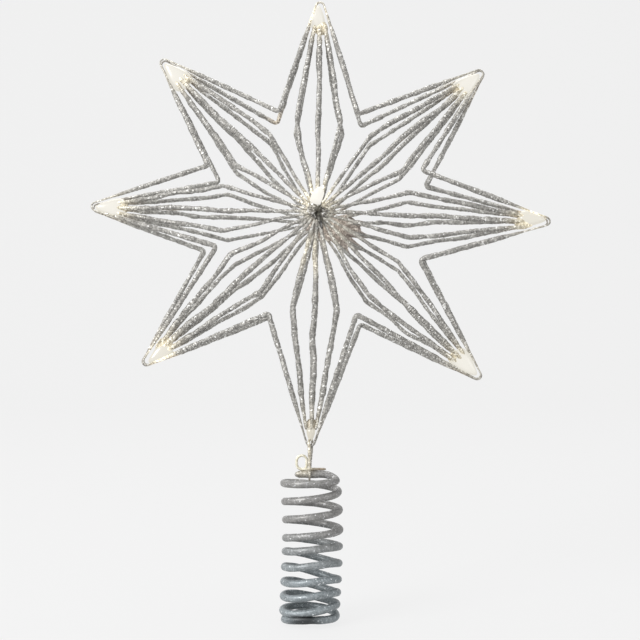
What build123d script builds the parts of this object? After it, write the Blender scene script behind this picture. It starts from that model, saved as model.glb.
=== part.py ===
# Christmas tree topper: an eight-pointed star of bent wire with a lamp in every tip,
# standing on a coil spring that is pushed over the tree's leading shoot.
# Millimetres and degrees.  +Z is up, the star faces -Y, and the origin is the centre
# of the coil's mouth.

import os
from math import acos, asin, atan2, ceil, cos, degrees, hypot, pi, radians, sin, sqrt, tan

from build123d import *

# Coil spring: one wire, open turns that close up towards the mouth
coil_wire = 3.6
coil_outside = 29.0
coil_turns = 9.62
coil_first_pitch = 4.5
coil_last_pitch = 9.8
coil_start_angle = 90.0
coil_sides = 5
knots_per_turn = 2
samples_per_turn = 36

# Cross bar: the coil's upper end, bent in over the mouth for the star to ride on
bar_height = 70.0
bar_right_share = 0.47
bar_left_share = 0.52

# Star: the whole figure
ray_names = ("top", "upper_right", "right", "lower_right", "bottom", "lower_left", "left", "upper_left")
star_reach = 110.3
star_lean = 10.0
star_roll = 1.6
ray_turns = (-0.8, 1.4, -0.5, -1.5, 0.0, 2.7, 1.2, -0.7)
ray_reach_shares = (0.995, 0.995, 1.025, 1.0, 1.0, 0.99, 1.0, 1.0)
neck_rise = 12.5
seat_gap = 0.1
weld_gap = 0.2
weld_place_share = 0.5

# Rims: a front and a back star outline, joined at the tips and spread at the valleys
rim_wire = 1.8
tip_bend = 2.0
valley_reach = 54.8
valley_half_depth = 9.9
valley_bend = 3.0
wire_sides = 6
bend_step = 45.0

# Ridges and braces: three wires in each ray, front and back, from the tip to the hub
ray_wire = 1.8
ridge_depth_at_tip = 1.5
brace_side_at_tip = 2.4
brace_depth_at_tip = 1.15
brace_kink_reach = 45.6
brace_kink_angle = 14.0
brace_kink_depth = 10.6
end_gap = 0.35

# Hubs: the bosses that the ray wires run into, front and back
hub_radius = 8.6
hub_depth = 13.8
hub_over = 1.1
hub_under = 2.4
hub_crown = 1.7
hub_crown_radius = 4.2
hub_sides = 24
socket_radius = 2.7
socket_length = 4.0
socket_lift = 30.0

# Tip beads: the lumps that bind a tip's wires together and carry its lamp
bead_length = 4.7
bead_from_tip = 13.3
bead_corner = 0.8

# Lamps: light-emitting diodes with a bullet-shaped body
bulb_radius = 2.3
bulb_straight = 3.4
bulb_length = 8.0
bulb_shoulder_share = 0.72
bulb_shoulder_rise_share = 0.62
bulb_nose_share = 0.25
bulb_sides = 10

# Leads: the fine wires that feed the lamps, one along the inside of each front ridge
lead_wire = 0.9

# Neck: the link that hooks the star's bottom tip to the cross bar, and its tie
link_wire = 1.7
link_bends = 4
link_bend_share = 0.75
tie_wire = 1.1
tie_tail = 7.6
tie_loop_near = 1.9
tie_loop_width = 5.4
tie_loop_height = 6.6
tie_loop_step = 1.35
tie_bend = 2.5
tie_end = 3.2
tie_bends = 4

ray_count = len(ray_names)
ray_step = 360.0 / ray_count
coil_radius = (coil_outside - coil_wire) / 2
centre_rise = neck_rise + star_reach
parts_folder = "parts"
os.makedirs(parts_folder, exist_ok=True)

# The star's own plane: X to the right, Y up along the star, Z out of its front,
# with its origin on the cross bar that the star tilts about
lean = radians(star_lean)
roll = radians(star_roll)
star_plane = Plane(
    origin=(0, 0, bar_height),
    x_dir=(cos(roll), -sin(roll) * sin(lean), -sin(roll) * cos(lean)),
    z_dir=(0, -cos(lean), sin(lean)),
)


def save(piece, name):
    piece.part.label = name
    export_step(piece.part, f"{parts_folder}/{name}.step")


def ray_angle(ray):
    return ray_step * ray + ray_turns[ray % ray_count]


def star_point(angle, out, side, depth):
    turn = radians(angle)
    x = out * sin(turn) + side * cos(turn)
    y = out * cos(turn) - side * sin(turn)
    return (x, y + centre_rise, depth)


def ray_stretch(ray):
    return star_reach * (ray_reach_shares[ray % ray_count] - 1)


def ray_point(ray, out, side, depth):
    return star_point(ray_angle(ray), out + ray_stretch(ray), side, depth)


def hub_point(ray, angle, out, depth):
    return star_point(ray_angle(ray) + angle, out, 0, depth)


def cross_plane(ray, out):
    # A plane square to a ray, that far along it, with X across the ray
    turn = radians(ray_angle(ray))
    local = Plane(
        origin=ray_point(ray, out, 0, 0),
        x_dir=(cos(turn), -sin(turn), 0),
        z_dir=(sin(turn), cos(turn), 0),
    )
    return Plane(star_plane.location * local.location)


def sweep_section(path, radius, sides, corners=Transition.TRANSFORMED):
    with BuildSketch(Plane(origin=path @ 0, z_dir=path % 0)) as section:
        RegularPolygon(radius, sides)
    sweep(section.sketch, path=path, transition=corners)


def stack_rings(rings, sides):
    # A faceted turned form standing on XY: straight or tapering prisms from ring to ring
    with BuildPart() as form:
        for (low, wide), (high, narrow) in zip(rings, rings[1:]):
            with BuildSketch(Plane.XY.offset(low)):
                RegularPolygon(wide, sides, major_radius=False)
            extrude(amount=high - low, taper=degrees(atan2(wide - narrow, high - low)))
    return form.part


def bend_wire(points, radii):
    # The points of a wire with each inner corner turned in small steps round a bend
    run = [Vector(*point) for point in points]
    bent = [points[0]]
    for before, corner, after, radius in zip(run, run[1:], run[2:], radii):
        back = (before - corner).normalized()
        onward = (after - corner).normalized()
        half = acos(back.dot(onward)) / 2
        centre = corner + (back + onward).normalized() * (radius / sin(half))
        start = corner + back * (radius / tan(half)) - centre
        end = corner + onward * (radius / tan(half)) - centre
        turn = pi - 2 * half
        steps = ceil(degrees(turn) / bend_step)
        for step in range(steps + 1):
            angle = turn * step / steps
            bent.append(tuple(centre + (start * sin(turn - angle) + end * sin(angle)) * (1 / sin(turn))))
    return [*bent, points[-1]]


# Coil spring
def coil_point(turn):
    angle = radians(coil_start_angle + 360 * turn)
    ramp = (coil_last_pitch - coil_first_pitch) / (2 * coil_turns)
    rise = coil_first_pitch * turn + ramp * turn**2
    return Vector(coil_radius * cos(angle), coil_radius * sin(angle), coil_wire / 2 + rise)


def coil_heading(turn):
    angle = radians(coil_start_angle + 360 * turn)
    pitch = coil_first_pitch + (coil_last_pitch - coil_first_pitch) * turn / coil_turns
    around = 2 * pi * coil_radius
    return Vector(-around * sin(angle), around * cos(angle), pitch).normalized()


def biarc(start, heading, end, end_heading):
    # Two arcs that leave along one heading, arrive along the other and meet smoothly
    chord = end - start
    toward = chord.dot(heading + end_heading)
    apart = 1 - heading.dot(end_heading)
    reach = (sqrt(toward**2 + 2 * apart * chord.dot(chord)) - toward) / (2 * apart)
    first = start + heading * reach
    second = end - end_heading * reach
    middle = (first + second) / 2
    TangentArc(start, middle, tangent=heading)
    TangentArc(middle, end, tangent=second - first)


bar_start = Vector(coil_radius * bar_right_share, 0, bar_height)
bar_end = Vector(-coil_radius * bar_left_share, 0, bar_height)
bar_heading = Vector(-1, 0, 0)
coil_knots = [knot / knots_per_turn for knot in range(int(coil_turns * knots_per_turn))]
coil_knots.append(coil_turns)

with BuildPart() as coil_spring:
    with BuildLine() as coil_run:
        for low, high in zip(coil_knots, coil_knots[1:]):
            biarc(coil_point(low), coil_heading(low), coil_point(high), coil_heading(high))
        biarc(coil_point(coil_turns), coil_heading(coil_turns), bar_start, bar_heading)
        Line(bar_start, bar_end)
    sweep_section(coil_run.wire(), coil_wire / 2, coil_sides)
save(coil_spring, "coil_spring")

coil_path = coil_run.wire()
coil_samples = int(coil_turns * samples_per_turn)
coil_line = [coil_path @ (step / coil_samples) for step in range(coil_samples + 1)]
coil_gap = min(
    (near - far).length
    for step, near in enumerate(coil_line)
    for far in coil_line[step + samples_per_turn // 2:]
)
print(f"coil spring: least gap to itself {coil_gap - coil_wire:.2f} mm")

# Rims: each straight side of a ray is tangent to the round bend at its tip
tip_centre = star_reach - rim_wire / 2 - tip_bend
valley_out = valley_reach * cos(radians(ray_step / 2))
valley_side = valley_reach * sin(radians(ray_step / 2))
tip_to_valley = hypot(tip_centre - valley_out, valley_side)
side_angle = atan2(valley_side, tip_centre - valley_out) - asin(tip_bend / tip_to_valley)
corner_out = valley_out + valley_side / tan(side_angle)
corner_share = (corner_out - tip_centre - tip_bend) / (corner_out - valley_out)
rim_depth_at_tip = (rim_wire + seat_gap) / 2
corner_depth = (rim_depth_at_tip - corner_share * valley_half_depth) / (1 - corner_share)


def rim_share(ray, out):
    # How far a point of a ray lies along its side, from the tip's corner to the valley
    return (corner_out - out) / (corner_out + ray_stretch(ray) - valley_out)


def valley_point(valley, depth):
    middle = (ray_angle(valley) + ray_angle(valley + 1)) / 2
    return star_point(middle, valley_reach, 0, depth)


def rim_points(face):
    # Round the outline from half-way up a side of the bottom ray, back to the weld there
    bottom = ray_names.index("bottom")
    corners = []
    for ray in range(bottom + 1, bottom + ray_count + 1):
        corners.append(valley_point(ray - 1, face * valley_half_depth))
        corners.append(ray_point(ray, corner_out, 0, face * corner_depth))
    last_corner = Vector(*corners[-1])
    last_side = Vector(*corners[0]) - last_corner
    start = last_corner + last_side * weld_place_share
    end = start - last_side.normalized() * weld_gap
    return [tuple(start), *corners, tuple(end)]


faces = {"front": 1, "back": -1}
for face_name, face in faces.items():
    with BuildPart() as rim:
        with BuildLine(star_plane) as rim_run:
            Polyline(*bend_wire(rim_points(face), [valley_bend, tip_bend] * ray_count))
        sweep_section(rim_run.wire(), rim_wire / 2, wire_sides, Transition.RIGHT)
    save(rim, f"{face_name}_rim")

# Ridges and braces
bead_out = star_reach - bead_from_tip
bead_in = bead_out - bead_length
wire_tip = bead_in - end_gap
wire_root = hub_radius + end_gap

for face_name, face in faces.items():
    for ray, ray_name in enumerate(ray_names):
        with BuildPart() as ray_wires:
            with BuildLine(star_plane) as ridge_run:
                Line(
                    ray_point(ray, wire_tip, 0, face * ridge_depth_at_tip),
                    hub_point(ray, 0, wire_root, face * hub_depth),
                )
            sweep_section(ridge_run.wire(), ray_wire / 2, wire_sides)
            for side in (-1, 1):
                with BuildLine(star_plane) as brace_run:
                    Polyline(
                        ray_point(ray, wire_tip, side * brace_side_at_tip, face * brace_depth_at_tip),
                        hub_point(ray, side * brace_kink_angle, brace_kink_reach, face * brace_kink_depth),
                        hub_point(ray, side * brace_kink_angle, wire_root, face * hub_depth),
                    )
                sweep_section(brace_run.wire(), ray_wire / 2, wire_sides, Transition.RIGHT)
        save(ray_wires, f"{ray_name}_{face_name}_wires")

# Leads, in line with the front ridges and just inside them
lead_drop = (ray_wire + lead_wire) / 2 + seat_gap

with BuildPart() as lamp_leads:
    for ray in range(ray_count):
        with BuildLine(star_plane) as lead_run:
            Line(
                ray_point(ray, wire_tip, 0, ridge_depth_at_tip - lead_drop),
                hub_point(ray, 0, wire_root, hub_depth - lead_drop),
            )
        sweep_section(lead_run.wire(), lead_wire / 2, wire_sides)
save(lamp_leads, "lamp_leads")


# Lamps: one form, set on each seat
bulb_nose = bulb_length - bulb_straight
bulb_form = stack_rings(
    (
        (0, bulb_radius),
        (bulb_straight, bulb_radius),
        (bulb_straight + bulb_nose * bulb_shoulder_rise_share, bulb_radius * bulb_shoulder_share),
        (bulb_length, bulb_radius * bulb_nose_share),
    ),
    bulb_sides,
)


def save_bulb(seat, name):
    with BuildPart() as bulb:
        with Locations(seat.location):
            add(bulb_form)
    save(bulb, name)


# Tip beads: blocks that taper both ways between the front and the back rim, each with a lamp
def bead_depth(share):
    rim_depth = corner_depth + share * (valley_half_depth - corner_depth)
    return rim_depth - rim_wire / 2 - seat_gap


def taper_block(plane, wide, narrow, through, mode):
    with BuildSketch(plane) as outline:
        with BuildLine():
            Polyline((wide, bead_length), (narrow, 0), (-narrow, 0), (-wide, bead_length), close=True)
        make_face()
    extrude(outline.sketch, amount=through, both=True, mode=mode)


for ray, ray_name in enumerate(ray_names):
    seat = cross_plane(ray, bead_out)
    flat_plane = Plane(origin=seat.origin, x_dir=seat.x_dir, z_dir=seat.y_dir)
    edge_plane = Plane(origin=seat.origin, x_dir=seat.y_dir, z_dir=-seat.x_dir)
    share_in = rim_share(ray, bead_in)
    share_out = rim_share(ray, bead_out)
    side_in = share_in * valley_side
    depth_in = bead_depth(share_in)
    with BuildPart() as bead:
        taper_block(flat_plane, side_in, share_out * valley_side, depth_in, Mode.ADD)
        taper_block(edge_plane, depth_in, bead_depth(share_out), side_in, Mode.INTERSECT)
        end_edges = bead.faces().filter_by(Axis(seat.origin, seat.z_dir)).edges()
        chamfer(bead.edges() - end_edges, bead_corner)
    save(bead, f"{ray_name}_tip_bead")
    save_bulb(seat, f"{ray_name}_tip_bulb")

# Hubs: a boss with a low crown and a slanting lamp socket
hub_top = hub_depth + hub_over
hub_base = hub_depth - hub_under
hub_form = stack_rings(
    ((hub_base, hub_radius), (hub_top, hub_radius), (hub_top + hub_crown, hub_crown_radius)),
    hub_sides,
)
star_centre = star_plane.from_local_coords((0, centre_rise, 0))
socket_headings = {"front": star_plane.y_dir, "back": star_plane.x_dir}

for face_name, face in faces.items():
    outward = star_plane.z_dir * face
    hub_plane = Plane(origin=star_centre, x_dir=star_plane.x_dir, z_dir=outward)
    lift = radians(socket_lift)
    socket_plane = Plane(
        origin=star_centre + outward * (hub_top + hub_crown),
        z_dir=socket_headings[face_name] * cos(lift) + outward * sin(lift),
    )
    with BuildPart() as hub:
        with Locations(hub_plane.location):
            add(hub_form)
        with BuildSketch(socket_plane):
            RegularPolygon(socket_radius, bulb_sides)
        extrude(amount=socket_length)
    save(hub, f"{face_name}_hub")
    save_bulb(socket_plane.offset(socket_length), f"{face_name}_hub_bulb")

# Neck link: a long welded loop round the cross bar and both rims at the bottom tip
link_inside = max(coil_wire, 2 * rim_wire + seat_gap) / 2 + seat_gap
link_loop = link_inside + link_wire / 2
link_top = neck_rise + rim_wire / 2
link_plane = Plane(origin=star_plane.origin, x_dir=star_plane.z_dir, z_dir=-star_plane.x_dir)

with BuildPart() as neck_link:
    with BuildLine(link_plane) as link_run:
        Polyline(
            *bend_wire(
                [
                    (-link_loop, link_top / 2, 0),
                    (-link_loop, link_top + link_loop, 0),
                    (link_loop, link_top + link_loop, 0),
                    (link_loop, -link_loop, 0),
                    (-link_loop, -link_loop, 0),
                    (-link_loop, link_top / 2 - weld_gap, 0),
                ],
                [link_loop * link_bend_share] * link_bends,
            )
        )
    sweep_section(link_run.wire(), link_wire / 2, wire_sides, Transition.RIGHT)
save(neck_link, "neck_link")

# Neck tie: lies along the cross bar, through the link, and curls up beside it
tie_lift = (coil_wire + tie_wire) / 2 + seat_gap
tie_top = bar_height + tie_lift
tie_back = bar_height + sqrt(tie_lift**2 - tie_loop_step**2)
tie_left = -tie_loop_near - tie_loop_width

with BuildPart() as neck_tie:
    with BuildLine() as tie_run:
        Polyline(
            *bend_wire(
                [
                    (tie_tail, 0, tie_top),
                    (tie_left, 0, tie_top),
                    (tie_left, tie_loop_step / 3, tie_top + tie_loop_height),
                    (-tie_loop_near, tie_loop_step * 2 / 3, tie_top + tie_loop_height),
                    (-tie_loop_near, tie_loop_step, tie_back),
                    (-tie_loop_near - tie_end, tie_loop_step, tie_back),
                ],
                [tie_bend] * tie_bends,
            )
        )
    sweep_section(tie_run.wire(), tie_wire / 2, wire_sides, Transition.RIGHT)
save(neck_tie, "neck_tie")
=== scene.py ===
import bpy
import numpy as np
from mathutils import Matrix, Vector


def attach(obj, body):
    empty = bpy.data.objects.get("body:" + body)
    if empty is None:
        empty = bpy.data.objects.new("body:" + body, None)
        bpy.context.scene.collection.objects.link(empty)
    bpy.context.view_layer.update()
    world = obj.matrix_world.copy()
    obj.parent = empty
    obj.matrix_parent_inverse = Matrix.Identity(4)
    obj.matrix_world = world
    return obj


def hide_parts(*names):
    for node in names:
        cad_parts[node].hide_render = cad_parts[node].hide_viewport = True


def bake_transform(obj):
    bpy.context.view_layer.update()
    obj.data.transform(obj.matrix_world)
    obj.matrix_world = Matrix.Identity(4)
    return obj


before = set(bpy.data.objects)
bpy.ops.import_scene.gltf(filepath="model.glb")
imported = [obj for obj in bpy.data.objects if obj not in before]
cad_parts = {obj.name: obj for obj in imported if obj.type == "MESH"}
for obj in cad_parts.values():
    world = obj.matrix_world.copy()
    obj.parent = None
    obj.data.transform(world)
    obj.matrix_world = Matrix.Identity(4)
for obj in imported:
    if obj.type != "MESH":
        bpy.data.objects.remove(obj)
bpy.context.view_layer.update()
mm = 0.001
print("frame loaded:", len(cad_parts), "nodes")

# lengths are in mm until a mesh is made; the star's own frame starts at the middle of the cross
# bar, with x to the right, y up the neck and z out of the front
star = dict(
    rays=("top", "upper_right", "right", "lower_right",
          "bottom", "lower_left", "left", "upper_left"),
    turns=(-0.8, 1.4, -0.5, -1.5, 0.0, 2.7, 1.2, -0.7),         # degrees each ray is out of step
    shares=(0.995, 0.995, 1.025, 1.0, 1.0, 0.99, 1.0, 1.0),     # each ray's reach against the rest
    reach=110.3, centreRise=122.8, barHeight=70.0, lean=10.0, roll=1.6,
    valleyReach=54.8, valleyDepth=9.9, hubDepth=13.8)
faces = ((1, "front"), (-1, "back"))
rayCount = len(star["rays"])
everyRay = np.arange(rayCount)
rayAngles = np.radians(360 / rayCount * everyRay + np.array(star["turns"]))
rayStretch = star["reach"] * (np.array(star["shares"]) - 1)
lean, roll = np.radians(star["lean"]), np.radians(star["roll"])
axisX, axisY, axisZ = np.eye(3)
starX = np.array([np.cos(roll), -np.sin(roll) * np.sin(lean), -np.sin(roll) * np.cos(lean)])
starZ = np.array([0.0, -np.cos(lean), np.sin(lean)])
starAxes = np.stack([starX, np.cross(starZ, starX), starZ])
barPoint = np.array([0.0, 0.0, star["barHeight"]])
hubCentre = np.array([0.0, star["centreRise"], 0.0])


# a vector over its own length
def unit(v):
    return v / np.linalg.norm(v, axis=-1, keepdims=True)


# star frame to world: the bar's middle plus each coordinate times its axis
def starToWorld(points):
    return barPoint + points @ starAxes


# a place at an angle clockwise from the top: 'out' from the hub, 'side' clockwise across that,
# 'depth' towards the front
def polarPoint(angle, out, side, depth):
    x = out * np.sin(angle) + side * np.cos(angle)
    y = out * np.cos(angle) - side * np.sin(angle) + star["centreRise"]
    return np.stack(np.broadcast_arrays(x, y, depth), -1).astype(float)


# the same on one ray, its own extra reach added
def rayPoint(ray, out, side, depth):
    return polarPoint(rayAngles[ray], out + rayStretch[ray], side, depth)


# how far points lie from the hub's axis
def hubDistance(points):
    return np.hypot(points[:, 0], points[:, 1] - star["centreRise"])


# smooth noise along a run: random knots 'span' mm apart, eased into each other by a cosine
def softNoise(count, step, span, rng):
    knots = max(3, int(round(count * step / span)))
    values = rng.normal(size=knots)
    place = np.arange(count) / count * knots
    low = place.astype(int)
    ease = (1 - np.cos(np.pi * (place - low))) / 2
    return values[low % knots] * (1 - ease) + values[(low + 1) % knots] * ease


# points spaced evenly along a polyline, read off its running length
def evenSteps(points, step, closed=False):
    if closed:
        points = np.vstack([points, points[:1]])
    lengths = np.linalg.norm(np.diff(points, axis=0), axis=1)
    run = np.concatenate([[0.0], np.cumsum(lengths)])
    places = np.linspace(0, run[-1], max(3, int(round(run[-1] / step)) + 1))
    if closed:
        places = places[:-1]
    return np.stack([np.interp(places, run, points[:, k]) for k in range(3)], -1)


# bent wire: straight runs, and at each corner an arc of radius r round the point that lies
# r / sin(half the corner's angle) along its bisector
def bentPath(corners, radii, step, closed=False, arcPoints=17):
    corners = np.asarray(corners, float)
    if closed:
        middle, before, after = corners, np.roll(corners, 1, 0), np.roll(corners, -1, 0)
    else:
        middle, before, after = corners[1:-1], corners[:-2], corners[2:]
    back, ahead = unit(before - middle), unit(after - middle)
    half = np.arccos(np.clip((back * ahead).sum(-1), -1, 1)) / 2
    radii = np.broadcast_to(radii, half.shape)
    centre = middle + unit(back + ahead) * (radii / np.sin(half))[:, None]
    cut = (radii / np.tan(half))[:, None]
    first, last = unit(middle + back * cut - centre), unit(middle + ahead * cut - centre)
    sweep = (np.pi - 2 * half)[:, None, None]
    t = np.linspace(0, 1, arcPoints)[None, :, None]
    arc = np.sin((1 - t) * sweep) * first[:, None] + np.sin(t * sweep) * last[:, None]
    arc = arc / np.sin(sweep) * radii[:, None, None]
    points = (centre[:, None] + arc).reshape(-1, 3)
    if not closed:
        points = np.vstack([corners[:1], points, corners[-1:]])
    return evenSteps(points, step, closed)


# a slow sideways wander: soft noise each way times a power of the sine of the way along, so that
# the two ends stay where they are
def wander(path, amount, span, step, rng, power=0.6):
    count = len(path)
    fade = np.sin(np.pi * np.linspace(0, 1, count)) ** power
    drift = np.stack([softNoise(count, step, span, rng) for _ in range(3)], -1)
    return path + drift * (amount * fade)[:, None]


# faces between rings of points; an open run has two more points, its poles, fanned to its ends
def gridFaces(rows, sides, closed=False):
    index = np.arange(rows * sides).reshape(rows, sides)
    around = np.roll(index, -1, 1)
    quads = np.stack([index, around, np.roll(around, -1, 0), np.roll(index, -1, 0)], -1)
    if closed:
        return quads.reshape(-1, 4), np.zeros((0, 3), int)
    pole = np.full(sides, rows * sides)
    tris = np.vstack([np.stack([pole, around[0], index[0]], -1),
                      np.stack([pole + 1, index[-1], around[-1]], -1)])
    return quads[:-1].reshape(-1, 4), tris


# tube: rings of 'sides' points round a path, every second ring turned by half a side; 'radius' is
# one value per ring or per point, and a pole stands half a radius off each open end
def tubeShell(path, across, radius, sides, closed=False):
    count = len(path)
    if closed:
        along = unit(np.roll(path, -1, 0) - np.roll(path, 1, 0))
    else:
        along = unit(np.gradient(path, axis=0))
    normal = unit(across - (across * along).sum(-1, keepdims=True) * along)
    binormal = np.cross(along, normal)
    turn = 2 * np.pi * (np.arange(sides) + np.arange(count)[:, None] % 2 / 2) / sides
    radius = np.broadcast_to(np.asarray(radius, float).reshape(count, -1), (count, sides))
    rings = path[:, None] + radius[..., None] * (
        np.cos(turn)[..., None] * normal[:, None] + np.sin(turn)[..., None] * binormal[:, None])
    verts = rings.reshape(-1, 3)
    if not closed:
        poles = np.stack([path[0] - along[0] * radius[0].mean() / 2,
                          path[-1] + along[-1] * radius[-1].mean() / 2])
        verts = np.vstack([verts, poles])
    quads, tris = gridFaces(count, sides, closed)
    return dict(verts=verts, quads=quads, tris=tris)


# glitter coat: a wire's radius times slow lumps along it, plus a grain on every point; both draws
# are cut off at so many standard deviations
def coatedRadius(base, count, look, rng, grain=None, lumpLimit=1.6, grainLimit=1.8):
    noise = softNoise(count, look["step"], look["lumpSpan"], rng)
    lumps = 1 + look["lump"] * np.clip(noise, -lumpLimit, lumpLimit)
    grains = np.clip(rng.normal(size=(count, look["sides"])), -grainLimit, grainLimit)
    grain = look["grain"] if grain is None else grain[:, None]
    return np.broadcast_to(base, count)[:, None] * lumps[:, None] + grain * grains


# wire ends drawn in over their last rings, from a share of the radius up to all of it
def roundEnds(radius, rings=2, share=0.55):
    count = len(radius)
    edge = np.minimum(np.arange(count), np.arange(count)[::-1])
    return radius * np.clip(share + (1 - share) * edge / rings, 0, 1)[:, None]


# several shells as one: each one's faces count on from the points before it
def joinShells(shells):
    offsets = np.cumsum([0] + [len(s["verts"]) for s in shells])
    joined = dict(
        verts=np.vstack([s["verts"] for s in shells]),
        quads=np.vstack([s["quads"] + o for s, o in zip(shells, offsets)]),
        tris=np.vstack([s["tris"] + o for s, o in zip(shells, offsets)]))
    for key in shells[0]:
        if key not in joined:
            joined[key] = np.concatenate([s[key] for s in shells])
    return joined


# a mesh from arrays in mm, with its point attributes, riding on a body in place of CAD nodes
def makePiece(name, shell, material, nodes, body=None, smooth=False):
    mesh = bpy.data.meshes.new(name)
    verts, quads, tris = shell["verts"] * mm, shell["quads"], shell["tris"]
    mesh.vertices.add(len(verts))
    mesh.vertices.foreach_set("co", verts.astype(np.float32).ravel())
    corners = np.concatenate([quads.ravel(), tris.ravel()]).astype(np.int32)
    starts = np.concatenate([4 * np.arange(len(quads)), 4 * len(quads) + 3 * np.arange(len(tris))])
    mesh.loops.add(len(corners))
    mesh.loops.foreach_set("vertex_index", corners)
    mesh.polygons.add(len(starts))
    mesh.polygons.foreach_set("loop_start", starts.astype(np.int32))
    mesh.update(calc_edges=True)
    mesh.validate()
    mesh.polygons.foreach_set("use_smooth", np.full(len(mesh.polygons), smooth))
    for key in shell:
        if key not in ("verts", "quads", "tris"):
            values = mesh.attributes.new(key, "FLOAT", "POINT").data
            values.foreach_set("value", shell[key].astype(np.float32))
    mesh.materials.append(material)
    piece = bpy.data.objects.new(name, mesh)
    bpy.context.scene.collection.objects.link(piece)
    if body:
        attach(piece, body)
    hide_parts(*nodes)
    return piece


# an sRGB hex code as linear light
def hexColour(code):
    value = np.array([int(code[i:i + 2], 16) for i in (1, 3, 5)]) / 255
    linear = np.where(value <= 0.04045, value / 12.92, ((value + 0.055) / 1.055) ** 2.4)
    return (*linear.tolist(), 1.0)


# sets a node's inputs, or links those whose value is another node's socket
def feedNode(tree, node, feeds):
    for key, value in feeds.items():
        if isinstance(value, bpy.types.NodeSocket):
            tree.links.new(value, node.inputs[key])
        else:
            node.inputs[key].default_value = value


# adds a node, sets its properties and its colour stops, then feeds it
def addNode(tree, kind, feeds=None, stops=None, **settings):
    node = tree.nodes.new("ShaderNode" + kind)
    for key, value in settings.items():
        setattr(node, key, value)
    if stops:
        ramp = node.color_ramp
        while len(ramp.elements) < len(stops):
            ramp.elements.new(0.5)
        for element, (place, code) in zip(ramp.elements, stops):
            element.position = place
            element.color = hexColour(code)
    feedNode(tree, node, feeds or {})
    return node


# a value read off colour stops
def rampColour(tree, value, stops):
    return addNode(tree, "ValToRGB", {0: value}, stops=stops).outputs[0]


# a value between two limits stretched to two others
def mapRange(tree, value, limits=(0.0, 1.0), to=(0.0, 1.0), **settings):
    feeds = {0: value, 1: limits[0], 2: limits[1], 3: to[0], 4: to[1]}
    return addNode(tree, "MapRange", feeds, **settings).outputs[0]


# two values joined by a sum of the kind named
def mathNode(tree, operation, first, second, **settings):
    return addNode(tree, "Math", {0: first, 1: second}, operation=operation, **settings).outputs[0]


# one colour laid over another by a share
def mixColours(tree, share, under, over, blend="MIX"):
    feeds = {0: share, 6: under, 7: over}
    return addNode(tree, "Mix", feeds, data_type="RGBA", blend_type=blend).outputs[2]


# a mesh's own point attribute
def pointValue(tree, name):
    return addNode(tree, "Attribute", attribute_name=name).outputs["Fac"]


# 1 on what is seen directly, in a reflection or through something clear, else 0
def seenDirectly(tree):
    light = addNode(tree, "LightPath").outputs
    seen = mathNode(tree, "MAXIMUM", light["Is Camera Ray"], light["Is Glossy Ray"])
    return mathNode(tree, "MAXIMUM", seen, light["Is Transmission Ray"])


# the piece's own coordinates
def pieceCoords(tree):
    return addNode(tree, "TexCoord").outputs["Object"]


# soft noise of grains so many mm wide
def noiseTexture(tree, grain, detail):
    feeds = {"Vector": pieceCoords(tree), "Scale": 1 / (grain * mm), "Detail": detail}
    return addNode(tree, "TexNoise", feeds).outputs[0]


# an empty material with its shader
def newMaterial(name):
    material = bpy.data.materials.new(name)
    material.use_nodes = True
    tree = material.node_tree
    tree.nodes.clear()
    shader = addNode(tree, "BsdfPrincipled")
    addNode(tree, "OutputMaterial", {"Surface": shader.outputs[0]})
    return material, tree, shader


coat = dict(patchLimits=(0.3, 0.7), patchHigh=1.08, patchDetail=2.0, darkest=0.08, flakeRise=0.15)


# polyester glitter set in clear lacquer over wire: every flake is a small mirror of its own tone and
# tilt, so the coat sparkles between dark and bright. Near a lamp it carries painted lamp light, a
# point attribute that tints it towards lit flake tones and makes it glow; painted shade, another
# point attribute, darkens it
def glitterCoat(name, look):
    material, tree, shader = newMaterial(name)
    coords = pieceCoords(tree)
    flakes = addNode(tree, "TexVoronoi", {"Vector": coords, "Scale": 1 / (look["flake"] * mm)})
    chance, gleam, rise = addNode(tree, "SeparateColor", {0: flakes.outputs["Color"]}).outputs
    tone = rampColour(tree, chance, look["stops"])
    if "lowStops" in look:      # another batch of glitter below, mixed by height
        height = addNode(tree, "SeparateXYZ", {0: coords}).outputs[2]
        level = mapRange(tree, height, (look["lowTop"] * mm, look["highFrom"] * mm))
        tone = mixColours(tree, level, rampColour(tree, chance, look["lowStops"]), tone)
    warmTone = rampColour(tree, chance, look["warmStops"])
    patch = noiseTexture(tree, look["patch"], coat["patchDetail"])
    patchLevel = mapRange(tree, patch, coat["patchLimits"], (look["patchLow"], coat["patchHigh"]))
    # painted shade: the shade point attribute darkens the tone down to the darkest level
    shadeLevel = mapRange(tree, pointValue(tree, "shade"), to=(1.0, coat["darkest"]))
    for level in (patchLevel, shadeLevel):
        tone = mixColours(tree, 1.0, tone, level, "MULTIPLY")
    # painted lamp light: by its point attribute the tone goes over to the lit flake tones and the
    # coat glows
    paintedLampLight = pointValue(tree, "paintedLampLight")
    tint = mathNode(tree, "MULTIPLY", paintedLampLight, look["warmTint"], use_clamp=True)
    bump = addNode(tree, "Bump", {"Height": rise, "Strength": look["bump"],
                                  "Distance": coat["flakeRise"] * mm})
    feedNode(tree, shader, {
        "Base Color": mixColours(tree, tint, tone, warmTone),
        "Roughness": mapRange(tree, gleam, to=look["gloss"]),
        "Metallic": look["metallic"],
        "Normal": bump.outputs[0],
        "Emission Color": warmTone,
        "Emission Strength": mathNode(tree, "MULTIPLY", paintedLampLight, look["warmGlow"])})
    return material


# flake tones under painted lamp light, mixed in and glowing near the lamps
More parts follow.
